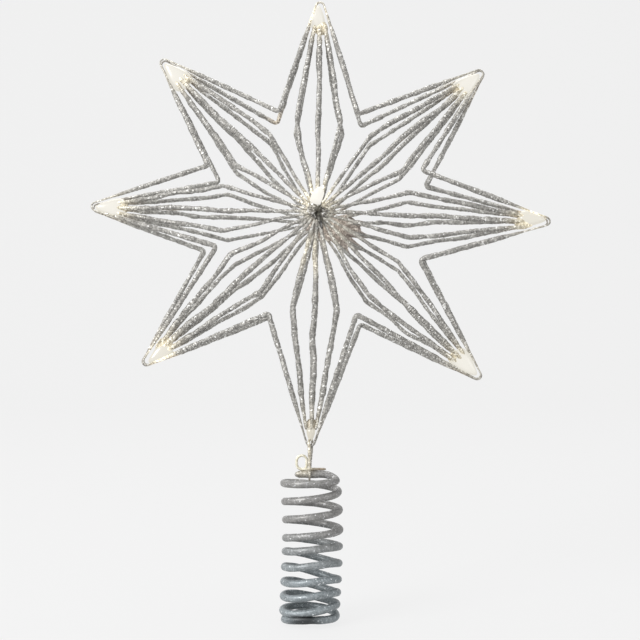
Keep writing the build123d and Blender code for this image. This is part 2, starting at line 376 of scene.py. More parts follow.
warmFlakes = ((0.0, "#938b7a"), (0.4, "#b4ac99"), (0.75, "#d3ccb9"), (1.0, "#f8f4e6"))
wireGlitter = dict(
    front=glitterCoat("silver_glitter_lacquered_wire_front", dict(
        flake=0.75,                 # real flakes are about 0.4 mm; drawn coarser so that they show
        stops=((0.0, "#767470"), (0.3, "#8b8985"), (0.7, "#a19f9a"), (0.93, "#b9b7b2"),
               (1.0, "#eeeeec")),
        warmStops=warmFlakes, warmTint=0.9, warmGlow=0.2,
        patch=6.0, patchLow=0.8, gloss=(0.38, 0.6), bump=0.3, metallic=0.35)),
    # paler than the front, and browner where painted lamp light falls near a lamp
    back=glitterCoat("silver_glitter_lacquered_wire_back", dict(
        flake=0.75,
        stops=((0.0, "#85837f"), (0.3, "#989692"), (0.7, "#abaaa5"), (0.93, "#c2c0bb"),
               (1.0, "#eeeeec")),
        warmStops=((0.0, "#7a6b59"), (0.4, "#a79885"), (0.75, "#d0c4af"), (1.0, "#fbf2df")),
        warmTint=0.85, warmGlow=0.1,
        patch=6.0, patchLow=0.82, gloss=(0.38, 0.6), bump=0.3, metallic=0.35)))
# finer and duller where the spring was dipped: neutral above, bluish below
coilGlitter = glitterCoat("silver_glitter_dipped_spring", dict(
    flake=0.6,
    stops=((0.0, "#787775"), (0.5, "#888785"), (0.92, "#969593"), (0.975, "#b6b6b8"),
           (1.0, "#eeeeee")),
    lowStops=((0.0, "#777e81"), (0.5, "#888f92"), (0.92, "#979ea1"), (0.975, "#bac2c5"),
              (1.0, "#f0f2f3")),
    lowTop=24.0, highFrom=46.0,
    warmStops=warmFlakes, warmTint=0.75, warmGlow=0.0,
    patch=5.0, patchLow=0.84, gloss=(0.4, 0.55), bump=0.18, metallic=0.3))
hubGlitter = dict(
    # darker, glossier lumps: flakes sunk in glue
    front=glitterCoat("glitter_in_hot_melt_glue", dict(
        flake=0.8,
        stops=((0.0, "#575452"), (0.35, "#7a7774"), (0.7, "#999691"), (0.92, "#c6c3be"),
               (1.0, "#ffffff")),
        warmStops=((0.0, "#736a4c"), (0.4, "#a39b74"), (0.75, "#d3ccac"), (1.0, "#fffbe8")),
        warmTint=0.8, warmGlow=0.1,
        patch=5.0, patchLow=0.75, gloss=(0.28, 0.5), bump=0.6, metallic=0.3)),
    # a brown web, soft and barely metallic
    back=glitterCoat("glitter_in_brown_hot_melt_glue", dict(
        flake=0.8,
        stops=((0.0, "#837972"), (0.35, "#9f958d"), (0.7, "#b6aca4"), (0.92, "#d6ccc2"),
               (1.0, "#fff8ee")),
        warmStops=((0.0, "#8b7e71"), (0.4, "#a89b8d"), (0.75, "#c9bbaa"), (1.0, "#fff2e0")),
        warmTint=0.6, warmGlow=0.05,
        patch=5.0, patchLow=0.75, gloss=(0.3, 0.55), bump=0.6, metallic=0.2)))
# clear glue lit from within: cream, with no metal in it
beadGlue = glitterCoat("lit_hot_melt_glue_bead", dict(
    flake=0.7,
    stops=((0.0, "#a89d90"), (0.4, "#bcb2a5"), (0.75, "#cfc6b9"), (1.0, "#ebe4d8")),
    warmStops=((0.0, "#a39a82"), (0.4, "#bdb49d"), (0.75, "#d6ceb9"), (1.0, "#f6f0e0")),
    warmTint=0.9, warmGlow=0.2,
    patch=4.0, patchLow=0.85, gloss=(0.3, 0.5), bump=0.5, metallic=0.0))

# cast epoxy over a warm white lamp, lit: burnt out at its heart, cream where the glue thins
epoxy = dict(
    stops=((0.0, "#ece7d8"), (0.5, "#f6f3e8"), (1.0, "#fcfaf3")), light=(0.64, 0.74),
    body="#5f5a50", roughness=0.22, ior=1.54)
lampEpoxy, tree, shader = newMaterial("cast_epoxy_lamp_lit")
core = pointValue(tree, "core")
feedNode(tree, shader, {
    "Base Color": hexColour(epoxy["body"]),
    "Roughness": epoxy["roughness"],
    "IOR": epoxy["ior"],
    "Emission Color": rampColour(tree, core, epoxy["stops"]),
    "Emission Strength": mapRange(tree, core, to=epoxy["light"], clamp=False)})

# clear-sleeved copper lead: a thin milky sleeve with the copper's brown showing through
sleeve = dict(strand=2.0, detail=3.0, stops=((0.3, "#8c7b66"), (0.7, "#c4b9a6")),
              roughness=0.3, coat=0.4)
leadSleeve, tree, shader = newMaterial("clear_sleeved_copper_lead")
strand = noiseTexture(tree, sleeve["strand"], sleeve["detail"])
feedNode(tree, shader, {
    "Base Color": rampColour(tree, strand, sleeve["stops"]),
    "Roughness": sleeve["roughness"],
    "Coat Weight": sleeve["coat"]})

# thin drawn wire in pale lacquer: brown at its tail, cream where the lamp above lights its curl
lacquer = dict(
    speckle=0.9, detail=3.0, brown=((0.3, "#75695a"), (0.7, "#a89c8a")),
    cream=((0.3, "#b9b39c"), (0.5, "#d8d3bd"), (0.7, "#f3eee0")), roughness=0.35, coat=0.3)
tieLacquer, tree, shader = newMaterial("pale_lacquered_tie_wire")
speckle = noiseTexture(tree, lacquer["speckle"], lacquer["detail"])
brown, cream = (rampColour(tree, speckle, lacquer[key]) for key in ("brown", "cream"))
feedNode(tree, shader, {
    "Base Color": mixColours(tree, pointValue(tree, "paintedLampLight"), brown, cream),
    "Roughness": lacquer["roughness"],
    "Coat Weight": lacquer["coat"]})
print("materials made:", len(bpy.data.materials))

# the lamps, and the places that their light tints
lamp = dict(
    tipMiddle=99.5, tipReach=9.2, tipLevels=(1.5, 1.5, 1.5, 1.5, 0.5, 1.5, 1.5, 1.5),
    hubReach=8.4, hubLevel=3.0, lift=30.0, crownDepth=16.6, socketLength=4.0,
    bulbLength=7.9, bulbStraight=3.4, bulbRadius=dict(front=2.75, back=2.1),
    # light caught by wires further off: place from the hub's middle, reach, level
    caught=((-2.6, -17.0, 13.0, 6.0, 0.8), (-1.5, -24.0, 11.5, 6.0, 0.8),
            (11.0, -9.0, 9.0, 9.0, 0.5), (-20.5, 50.5, -9.9, 5.0, 0.9)),
    # sides of three tips that drown in their own light: ray, out, side, reach, level
    drowned=((0, 101.5, -3.2, 4.4, 11.0), (2, 100.5, -3.2, 4.4, 11.0),
             (5, 100.5, -3.2, 4.4, 11.0)))
lift = np.radians(lamp["lift"])
hubCrowns = {name: hubCentre + face * lamp["crownDepth"] * axisZ for face, name in faces}
hubRays = dict(front=np.array([0.0, np.cos(lift), np.sin(lift)]),
               back=np.array([np.cos(lift), 0.0, -np.sin(lift)]))
bulbMiddle = lamp["socketLength"] + lamp["bulbLength"] / 2
hubLamps = np.stack([hubCrowns[name] + hubRays[name] * bulbMiddle for _, name in faces])
tipLamps = rayPoint(everyRay, lamp["tipMiddle"], 0, 0)
drownedSides = np.stack([rayPoint(ray, out, side, 0) for ray, out, side, _, _ in lamp["drowned"]])
caught, drowned = np.array(lamp["caught"]), np.array(lamp["drowned"])
litPlaces = np.vstack([tipLamps, hubLamps, hubCentre + caught[:, :3], drownedSides])
litReach = np.concatenate([np.full(rayCount, lamp["tipReach"]), np.full(2, lamp["hubReach"]),
                           caught[:, 3], drowned[:, 3]])
litLevel = np.concatenate([lamp["tipLevels"], np.full(2, lamp["hubLevel"]),
                           caught[:, 4], drowned[:, 4]])


# a bell round each place: exp of minus the square of the distance over its reach
def bells(points, places, reach):
    away = np.linalg.norm(points[:, None] - np.atleast_2d(places), axis=-1)
    return np.exp(-(away / reach) ** 2)


# moves a shell from the star's frame to the world; its painted lamp light is the strongest of the
# lit places' bells times their levels, those of the tips taken by a share
def onStar(shell, tipShare=1.0):
    level = litLevel * np.where(np.arange(len(litLevel)) < rayCount, tipShare, 1.0)
    shell["paintedLampLight"] = (level * bells(shell["verts"], litPlaces, litReach)).max(1)
    shell["verts"] = starToWorld(shell["verts"])
    return shell


# coil spring
coil = dict(
    outside=14.46, wire=1.74, mouthWire=1.8, mouthTop=(6.0, 12.0), coatLimit=1.04, floorGap=0.05,
    startAngle=90.0, turns=9.7, samples=2400, barRight=5.97, barLeft=-6.6, bendSamples=40,
    # turns at the mouth and at the left and right sides, and the height of the wire's middle there
    quarters=(0, 0.25, 0.5, 0.75, 1.0, 1.25, 1.75, 2.25, 2.75, 3.25, 3.75, 4.25, 4.75, 5.25,
              5.75, 6.25, 6.75, 7.25, 7.75, 8.25, 8.75, 9.25, 9.75),
    heights=(2.0, 2.0, 4.4, 3.1, 4.2, 5.7, 8.5, 12.5, 14.1, 19.3, 20.3, 26.3, 28.0, 33.6,
             36.0, 40.0, 43.9, 48.6, 53.2, 57.2, 61.9, 65.9, 67.6),
    # how far the front of a turn is up and its back down, and how far it is bent like a saddle
    tipTurns=(0, 1.0, 1.5, 2.0, 2.5, 3.5, 4.5, 5.5, 6.5, 8.0, 9.7),
    tip=(0, 0, 0.7, 1.4, 1.9, 2.2, 2.3, 2.2, 1.6, 1.1, 0.5),
    saddle=(0, 0, 0.5, 0.7, 0.8, 0.8, 0.75, 0.5, 0.1, 0, 0),
    # its first end lies inside the mouth, and the whole is bowed to the right
    tuckTurns=(0, 0.15, 0.2, 0.3, 0.4), tuck=(3.75, 3.6, 2.8, 0.6, 0.0),
    bowTurns=(0, 2, 4, 7.2, 9.7), bow=(-0.4, 0.1, 0.8, 1.4, 0.3),
    step=0.42, sides=26, lump=0.03, lumpSpan=4.0, grain=0.02, endRings=4,
    # painted lamp light from the neck on its bar, and painted shade at the front of its mouth
    litAt=(-3.0, 0.0, 2.0), litReach=4.5,
    paintedShade=0.93, paintedShadeTop=6.9, paintedShadeFade=0.8, paintedShadeMiddle=-2.0, paintedShadeHalf=7.5, paintedShadeFrom=-9.0)


# a smooth line through knots: each stretch a cubic that keeps the slopes of its two ends
def smoothThrough(x, knots, values):
    knots, values = np.asarray(knots, float), np.asarray(values, float)
    slopes = np.gradient(values, knots)
    low = np.clip(np.searchsorted(knots, x, side="right") - 1, 0, len(knots) - 2)
    high, span = low + 1, knots[low + 1] - knots[low]
    u = (x - knots[low]) / span
    return ((2 * u ** 3 - 3 * u ** 2 + 1) * values[low]
            + (u ** 3 - 2 * u ** 2 + u) * span * slopes[low]
            + (3 * u ** 2 - 2 * u ** 3) * values[high]
            + (u ** 3 - u ** 2) * span * slopes[high])


# the coat is thicker on the closed turns at the mouth
def coilWire(height):
    return np.interp(height, coil["mouthTop"], (coil["mouthWire"], coil["wire"]))


# the most that the coat's grain may stand out
def coilLimit(height):
    return coil["coatLimit"] * coilWire(height)


# an arc that leaves 'start' along 'heading': the chord to each of its points turns away from
# the heading by a share of the whole turn and grows with its sine
def tangentArc(start, heading, end, count):
    chord = end - start
    length = np.linalg.norm(chord)
    turn = np.arccos(np.clip(chord @ heading / length, -1, 1))
    side = unit(chord - (chord @ heading) * heading)
    t = np.linspace(0, 1, count)[:, None] * turn
    return start + length * np.sin(t) / np.sin(turn) * (np.cos(t) * heading + np.sin(t) * side)


# helix: closed turns at its mouth and open ones above, each tipped by the sine of its angle and
# bent by the sine of twice that; then two arcs that bring its end in, and the straight bar
def coilPath():
    t = np.linspace(0, coil["turns"], coil["samples"])
    angle = np.radians(coil["startAngle"] + 360 * t)
    rise = smoothThrough(t, coil["quarters"], coil["heights"])
    bow = smoothThrough(t, coil["bowTurns"], coil["bow"])
    reach = coil["outside"] - coilLimit(rise) - np.interp(t, coil["tuckTurns"], coil["tuck"])
    tip = smoothThrough(t, coil["tipTurns"], coil["tip"])
    saddle = smoothThrough(t, coil["tipTurns"], coil["saddle"])
    rise = np.maximum(rise - tip * np.sin(angle) - saddle * np.sin(2 * angle),
                      coilLimit(rise) + coil["floorGap"])
    helix = np.stack([reach * np.cos(angle) + bow, reach * np.sin(angle), rise], -1)
    end, heading = helix[-1], unit(helix[-1] - helix[-2])
    barStart = np.array([coil["barRight"], 0, star["barHeight"]])
    barEnd = np.array([[coil["barLeft"], 0, star["barHeight"]]])
    chord = barStart - end
    toward, apart = chord @ (heading - axisX), 1 + heading @ axisX
    arm = (np.sqrt(toward ** 2 + 2 * apart * chord @ chord) - toward) / (2 * apart)
    first, second = end + heading * arm, barStart + axisX * arm
    middle = (first + second) / 2
    entry = tangentArc(end, heading, middle, coil["bendSamples"])
    leave = tangentArc(middle, unit(second - first), barStart, coil["bendSamples"])
    return evenSteps(np.vstack([helix, entry[1:], leave[1:], barEnd]), coil["step"])


rng = np.random.default_rng(11)
path = coilPath()
radius = coatedRadius(coilWire(path[:, 2]), len(path), coil, rng)
radius = np.minimum(radius, coilLimit(path[:, 2])[:, None])
shell = tubeShell(path, axisZ, roundEnds(radius, coil["endRings"]), coil["sides"])
shell["paintedLampLight"] = bells(shell["verts"], barPoint + coil["litAt"], coil["litReach"])[:, 0]
x, y, z = shell["verts"].T
# painted shade on the front of the mouth: full below a height and fading above it, strongest near
# the middle across
across = np.exp(-((x - coil["paintedShadeMiddle"]) / coil["paintedShadeHalf"]) ** 4) * (y < coil["paintedShadeFrom"])
shell["shade"] = coil["paintedShade"] * across * np.clip((coil["paintedShadeTop"] - z) / coil["paintedShadeFade"], 0, 1)
print("coil path from", path.min(0).round(2), "to", path.max(0).round(2))
coilPiece = makePiece("coil_spring_coated", shell, coilGlitter, ["coil_spring"],
                      smooth=True)
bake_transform(coilPiece)
print("coil spring:", len(path), "rings")

# rims: each straight side of a ray is tangent to the round bend at its tip
rim = dict(
    wire=1.21, backThinner=0.05, cadWire=0.9, seat=0.05, tipBend=2.0, valleyBend=1.4,
    tipWire=0.42, tipFrom=88.0, tipShort=8.0, tipEase=0.8, tipWarm=0.4,
    step=0.55, sides=9, lump=0.1, lumpSpan=3.2, grain=0.075,
    # bent by hand: how far each valley lies in towards the hub, and clockwise
    front=((2.5, -2.0), (0.7, -2.1), (1.25, 1.5), (3.0, 0.6),
           (2.0, -0.1), (4.9, 0.4), (-2.1, -0.1), (1.9, 1.4)),
    back=((1.9, -0.2), (-1.3, 2.0), (0.7, -3.3), (0.25, -0.8),
          (2.1, 0.7), (-1.9, 4.4), (2.8, -1.5), (1.6, -0.3)))
tipCentre = star["reach"] - rim["cadWire"] - rim["tipBend"]
valleyOut = star["valleyReach"] * np.cos(np.pi / rayCount)
valleySide = star["valleyReach"] * np.sin(np.pi / rayCount)
sideAngle = (np.arctan2(valleySide, tipCentre - valleyOut)
             - np.arcsin(rim["tipBend"] / np.hypot(tipCentre - valleyOut, valleySide)))
cornerOut = valleyOut + valleySide / np.tan(sideAngle)
cornerShare = (cornerOut - tipCentre - rim["tipBend"]) / (cornerOut - valleyOut)
cornerDepth = rim["cadWire"] + rim["seat"] - cornerShare * star["valleyDepth"]
cornerDepth = cornerDepth / (1 - cornerShare)
valleyAngles = (rayAngles + np.append(rayAngles[1:], rayAngles[0] + 2 * np.pi)) / 2


# tips and valleys by turns: a tip on its ray, a valley half way to the next one
def rimCorners(face, bends):
    inward, clockwise = np.array(bends).T
    tips = rayPoint(everyRay, cornerOut, 0, face * cornerDepth)
    valleys = polarPoint(valleyAngles, star["valleyReach"] - inward, clockwise,
                         face * star["valleyDepth"])
    return np.stack([tips, valleys], 1).reshape(-1, 3)


for face, faceName in faces:
    rng = np.random.default_rng(21 + face)
    path = bentPath(rimCorners(face, rim[faceName]), [rim["tipBend"], rim["valleyBend"]] * rayCount,
                    rim["step"], closed=True)
    tipSpan = star["reach"] - rim["tipShort"] - rim["tipFrom"]
    thin = np.clip((hubDistance(path) - rim["tipFrom"]) / tipSpan, 0, 1) ** rim["tipEase"]
    wire = rim["wire"] - (rim["backThinner"] if face < 0 else 0)
    base = wire * (1 - thin) + rim["tipWire"] * thin
    radius = coatedRadius(base, len(path), rim, rng, rim["grain"] * base / rim["wire"])
    shell = onStar(tubeShell(path, axisZ, radius, rim["sides"], closed=True), rim["tipWarm"])
    makePiece(faceName + "_rim_coated", shell, wireGlitter[faceName],
              [faceName + "_rim"], "star")
print("rims: corner out", round(cornerOut, 2), "corner depth", round(cornerDepth, 2))

# ray wires: a ridge and two kinked braces in each ray, front and back
rays = dict(
    tipOut=96.8, bottomTipOut=101.8, bottomSqueeze=0.95, rootOut=3.5,
    ridgeTipDepth=1.5, braceTipSide=2.4, braceTipDepth=1.15,
    kinkAngle=14.0, kinkReach=45.6, kinkDepth=10.6, kinkBend=5.0,
    ridgeWire=1.27, braceWire=1.15, backShare=0.9,
    tipWire=0.66, tipThin=(86.0, 100.0), hubShare=0.66, hubThin=(8.0, 42.0),
    step=0.55, sides=9, lump=0.11, lumpSpan=3.0, grain=0.075, wander=0.42, wanderSpan=14.0,
    coats=(1.0, 1.0, 0.99, 0.95, 1.14, 1.06, 0.95, 1.0))        # how thickly each ray was coated


# tip to hub, a ridge straight and a brace by its kink; the wire goes over to another radius
# at the tip and shrinks by a share at the hub
def rayWires(ray, face, rng):
    bottom = star["rays"][ray] == "bottom"
    squeeze = rays["bottomSqueeze"] if bottom else 1.0
    tipOut = rays["bottomTipOut"] if bottom else rays["tipOut"]
    shells = []
    for side in (0, -1, 1):
        angle = rayAngles[ray] + side * np.radians(rays["kinkAngle"])
        tipDepth = rays["braceTipDepth"] if side else rays["ridgeTipDepth"]
        tip = rayPoint(ray, tipOut, side * rays["braceTipSide"] * squeeze,
                       face * tipDepth * squeeze)
        root = polarPoint(angle, rays["rootOut"], 0, face * star["hubDepth"])
        if side:
            kink = polarPoint(angle, rays["kinkReach"], 0, face * rays["kinkDepth"])
            path = bentPath([tip, kink, root], [rays["kinkBend"]], rays["step"])
        else:
            path = evenSteps(np.stack([tip, root]), rays["step"])
        path = wander(path, rays["wander"], rays["wanderSpan"], rays["step"], rng)
        out = hubDistance(path)
        base = (rays["braceWire"] if side else rays["ridgeWire"]) * rays["coats"][ray]
        base = base * (1 if face > 0 else rays["backShare"])
        base = base + (rays["tipWire"] - base) * np.interp(out, rays["tipThin"], (0, 1))
        base = base * np.interp(out, rays["hubThin"], (rays["hubShare"], 1))
        radius = coatedRadius(base, len(path), rays, rng)
        shells.append(tubeShell(path, axisZ, roundEnds(radius), rays["sides"]))
    return joinShells(shells)


for ray, rayName in enumerate(star["rays"]):
    for face, faceName in faces:
        rng = np.random.default_rng(100 + 2 * ray + (face < 0))
        name = rayName + "_" + faceName + "_wires"
        makePiece(name + "_coated", onStar(rayWires(ray, face, rng)), wireGlitter[faceName],
                  [name], "star")
print("ray wires: 16 sets of three")

# lamp leads, just inside the front ridges
leads = dict(tipOut=91.9, rootOut=9.0, drop=1.5, wire=0.42, step=1.2, sides=8)
shells = []
for ray in everyRay:
    ends = np.stack([
        rayPoint(ray, leads["tipOut"], 0, rays["ridgeTipDepth"] - leads["drop"]),
        polarPoint(rayAngles[ray], leads["rootOut"], 0, star["hubDepth"] - leads["drop"])])
    path = evenSteps(ends, leads["step"])
    shells.append(tubeShell(path, axisZ, np.full(len(path), leads["wire"]), leads["sides"]))
makePiece("lamp_leads_sleeved", onStar(joinShells(shells)), leadSleeve,
          ["lamp_leads"], "star", smooth=True)
print("lamp leads:", len(shells))

# tip beads and lamps: a grid round and along the ray that follows the gap between the rims
tipFill = dict(rows=21, sides=28, poleOut=0.2)
bead = dict(ends=(0.06, 0.94), swell=0.4, depthShare=0.6, power=0.9,
            grain=0.09, grainLimits=(-0.2, 0.18))
tipLamp = dict(out=107.2, gap=0.55, depth=2.2, ends=(0.04, 0.96), swell=0.7, sideFade=0.5, power=1.0,
               edgeDim=0.7, edgePower=4, coreEnds=(0.15, 0.85), corePower=0.7, poleCore=(0.2, 0.4))
# each tip's fill, one by one: where its bead lies, how wide and to which side; where its lamp
# starts, how much of the gap it takes, to which side and how bright
tips = dict(
    top=dict(bead=(92.5, 99.0), beadFill=0.5, beadSide=0.8,
             lampIn=95.5, lamp=0.95, side=-1.7, light=1.0),
    upper_right=dict(bead=(91.5, 96.0), beadFill=0.45, beadSide=-1.6,
                     lampIn=92.0, lamp=1.05, side=0.0, light=1.0),
    right=dict(bead=(92.5, 101.0), beadFill=0.5, beadSide=0.9,
               lampIn=94.5, lamp=0.9, side=-1.8, light=0.6),
    lower_right=dict(bead=(91.5, 96.5), beadFill=0.45, beadSide=1.4,
                     lampIn=92.0, lamp=1.05, side=0.2, light=1.0),
    bottom=dict(bead=(97.0, 102.4), beadFill=0.5, beadSide=-0.2,
                lampIn=100.8, lamp=0.72, side=0.0, light=0.1),
    lower_left=dict(bead=(92.5, 101.0), beadFill=0.5, beadSide=0.9,
                    lampIn=94.5, lamp=0.9, side=-1.8, light=0.6),
    left=dict(bead=(91.5, 96.0), beadFill=0.45, beadSide=0.9,
              lampIn=92.0, lamp=1.03, side=0.0, light=1.0),
    upper_left=dict(bead=(91.5, 97.0), beadFill=0.45, beadSide=1.7,
                    lampIn=91.0, lamp=1.05, side=-0.2, light=1.0))


# how far back a place lies between a rim's sharp corner, 0, and its valley, 1
def rimShare(ray, out):
    return (cornerOut - out) / (cornerOut + rayStretch[ray] - valleyOut)


# section: cosine and sine of the turn, each raised to 'power' with its sign kept
def sectionShell(ray, outs, shift, halfWidth, halfDepth, power, jitter=0.0):
    rows, sides, poleOut = tipFill["rows"], tipFill["sides"], tipFill["poleOut"]
    turn = 2 * np.pi * np.arange(sides) / sides
    x = np.sign(np.cos(turn)) * np.abs(np.cos(turn)) ** power * (1 + jitter)
    z = np.sign(np.sin(turn)) * np.abs(np.sin(turn)) ** power * (1 + jitter)
    shift = np.broadcast_to(shift, rows)
    points = rayPoint(ray, outs[:, None], shift[:, None] - halfWidth[:, None] * x,
                      halfDepth[:, None] * z)
    poles = rayPoint(ray, outs[[0, -1]] + (-poleOut, poleOut), shift[[0, -1]], 0)
    quads, tris = gridFaces(rows, sides)
    return dict(verts=np.vstack([points.reshape(-1, 3), poles]), quads=quads, tris=tris)


rows, sides = tipFill["rows"], tipFill["sides"]
for ray, rayName in enumerate(star["rays"]):
    rng = np.random.default_rng(300 + ray)
    tip = tips[rayName]
    swell = np.sin(np.pi * np.linspace(*bead["ends"], rows)) ** bead["swell"]
    outs = np.linspace(*tip["bead"], rows)
    share = rimShare(ray, outs)
    width = tip["beadFill"] * share * valleySide * swell
    depth = cornerDepth + share * (star["valleyDepth"] - cornerDepth)
    jitter = np.clip(rng.normal(scale=bead["grain"], size=(rows, sides)), *bead["grainLimits"])
    shell = sectionShell(ray, outs, tip["beadSide"], width, depth * bead["depthShare"] * swell,
                         bead["power"], jitter)
    makePiece(rayName + "_tip_bead_lumpy", onStar(shell), beadGlue,
              [rayName + "_tip_bead"], "star")

    way = np.linspace(*tipLamp["ends"], rows) * np.pi
    swell = np.sin(way) ** tipLamp["swell"]
    along = (1 - np.cos(way)) / 2
    outs = tip["lampIn"] + (tipLamp["out"] - tip["lampIn"]) * along
    width = (rimShare(ray, outs) * valleySide - tipLamp["gap"]) * swell * tip["lamp"]
    depth = np.minimum(tipLamp["depth"] * swell, width)
    shell = sectionShell(ray, outs, tip["side"] * (1 - tipLamp["sideFade"] * along), width, depth,
                         tipLamp["power"])
    turn = 2 * np.pi * np.arange(sides) / sides
    edge = 1 - tipLamp["edgeDim"] * np.abs(np.cos(turn)) ** tipLamp["edgePower"]
    glow = np.sin(np.pi * np.linspace(*tipLamp["coreEnds"], rows)) ** tipLamp["corePower"]
    core = np.concatenate([(glow[:, None] * edge).ravel(), tipLamp["poleCore"]])
    shell["core"] = core * tip["light"]
    makePiece(rayName + "_tip_lamp_lit", onStar(shell), lampEpoxy,
              [rayName + "_tip_bulb"], "star", smooth=True)
print("tips: 8 beads and 8 lamps")

# hubs: lumpy lenses of glue and glitter, lobed where the wires run in, each with a lamp
hub = dict(
    front=dict(radius=3.6, lobe=0.8, thick=2.3, depth=13.9, lean=2.4, toward=100.0,
               lampShift=(-2.3, 0.2, 0.2), lampHeading=(0.34, 0.81, 0.48), warmShare=0.13),
    back=dict(radius=6.0, lobe=1.2, thick=1.9, depth=13.4, lean=20.0, toward=105.0,
              lampShift=(0.0, 0.0, 0.0), lampHeading=(0.866, 0.0, -0.5), warmShare=1.0),
    rows=15, sides=120, ends=(0.06, 0.94), swell=0.8, lobeSpan=3.0, grain=0.07, grainLimit=0.15,
    depthGrain=0.12, leanWidth=0.66, teeth=24, toothDepth=0.2, toothStart=0.6)
socket = dict(wire=2.2, sunk=1.5, grip=0.4, step=0.6, sides=14, lump=0.1, lumpSpan=2.0, grain=0.16)
# wire ends left standing between the lamp and the clump, darkened by painted shade for the shadows
# between the wires there: from, to, off the hub's middle
shadedWireEnds = dict(
    runs=(((-3.0, -0.6, 15.8), (2.2, 3.6, 16.6)), ((0.6, 3.0, 16.6), (1.0, -4.0, 16.0)),
          ((1.0, -3.0, 16.0), (2.8, -8.5, 15.2))),
    wire=0.75, shade=0.8, step=0.5, sides=9, lump=0.12, lumpSpan=2.0, grain=0.1)
bullet = dict(sides=24, barrelRings=5, noseRings=9, noseTurn=(0.15, 1.45), fill=0.97, blunt=0.004,
              core=1.2, coreRise=0.4, coreTop=2.2)
offAxis = np.array([0.31, 0.2, 0.93])       # along no lamp, so that rings round one have a start


# lens: from one pole to the other the radius goes as a power of the sine of the way, and the
# depth as its cosine; round it the radius is lobed and drawn out to one side, with teeth
def hubShell(look, face, rng):
    sides, rows = hub["sides"], hub["rows"]
    turn = 2 * np.pi * np.arange(sides) / sides
    away = np.angle(np.exp(1j * (turn - np.radians(look["toward"]))))
    teeth = 1 - hub["toothDepth"] * (1 - np.cos(hub["teeth"] * turn + hub["toothStart"]))
    reach = (look["radius"] + look["lobe"] * softNoise(sides, 1.0, hub["lobeSpan"], rng)
             + look["lean"] * np.exp(-(away / hub["leanWidth"]) ** 4) * teeth)
    way = np.linspace(*hub["ends"], rows)[:, None] * np.pi
    grain = rng.normal(scale=hub["grain"], size=(rows, sides))
    grain = 1 + np.clip(grain, -hub["grainLimit"], hub["grainLimit"])
    out = np.sin(way) ** hub["swell"] * reach * grain
    thick = look["thick"] * (1 + rng.normal(scale=hub["depthGrain"], size=(rows, sides)))
    points = polarPoint(turn, out, 0, face * (look["depth"] + thick * np.cos(way)))
    poleDepth = look["depth"] + look["thick"] * np.array([1.0, -1.0])
    poles = polarPoint(0.0, np.zeros(2), 0, face * poleDepth)
    quads, tris = gridFaces(rows, sides)
    if face > 0:
        quads = np.roll(quads, -1, 1)
    else:       # the back lens is wound the other way
        quads, tris = quads[:, [0, 3, 2, 1]], tris[:, [0, 2, 1]]
    return dict(verts=np.vstack([points.reshape(-1, 3), poles]), quads=quads, tris=tris)


# bullet lamp: a straight barrel and a half-ellipse nose turned about its heading
def bulletShell(start, heading, radius):
    straight, length = lamp["bulbStraight"], lamp["bulbLength"]
    barrel = np.linspace(0, straight, bullet["barrelRings"])
    nose = np.sin(np.linspace(*bullet["noseTurn"], bullet["noseRings"]))
    rise = np.concatenate([barrel, straight + (length - straight) * nose])
    nose = np.clip((rise - straight) / (length - straight), 0, 1)
    radius = radius * bullet["fill"] * np.sqrt(1 - nose ** 2 + bullet["blunt"])
    shell = tubeShell(start + rise[:, None] * heading, offAxis, radius, bullet["sides"])
    core = np.clip(bullet["core"] + bullet["coreRise"] * rise, 0, bullet["coreTop"])
    shell["core"] = np.concatenate([core.repeat(bullet["sides"]),
                                    [bullet["core"], bullet["coreTop"]]])
    return shell


for face, faceName in faces:
    rng = np.random.default_rng(400 + face)
    look = hub[faceName]
    crown, heading = hubCrowns[faceName] + look["lampShift"], unit(np.array(look["lampHeading"]))
    top = crown + heading * lamp["socketLength"]
    path = evenSteps(np.stack([crown - heading * socket["sunk"], top + heading * socket["grip"]]),
                     socket["step"])
    radius = coatedRadius(socket["wire"], len(path), socket, rng)
    shells = [hubShell(look, face, rng), tubeShell(path, offAxis, radius, socket["sides"])]
    # painted shade: none on the clump and socket, a dark level on the wire ends
    for part in shells:
        part["shade"] = np.zeros(len(part["verts"]))
    for run in shadedWireEnds["runs"] if face > 0 else ():
        path = evenSteps(hubCentre + np.array(run), shadedWireEnds["step"])
        radius = coatedRadius(shadedWireEnds["wire"], len(path), shadedWireEnds, rng)
        part = tubeShell(path, axisZ, roundEnds(radius), shadedWireEnds["sides"])
        part["shade"] = np.full(len(part["verts"]), shadedWireEnds["shade"])
        shells.append(part)
    shell = onStar(joinShells(shells))
    shell["paintedLampLight"] *= look["warmShare"]
    makePiece(faceName + "_hub_clump", shell, hubGlitter[faceName],
              [faceName + "_hub"], "star")
    shell = onStar(bulletShell(top, heading, lamp["bulbRadius"][faceName]))
    makePiece(faceName + "_hub_lamp_lit", shell, lampEpoxy, [faceName + "_hub_bulb"],
              "star", smooth=True)
print("hubs: 2 clumps and 2 lamps")

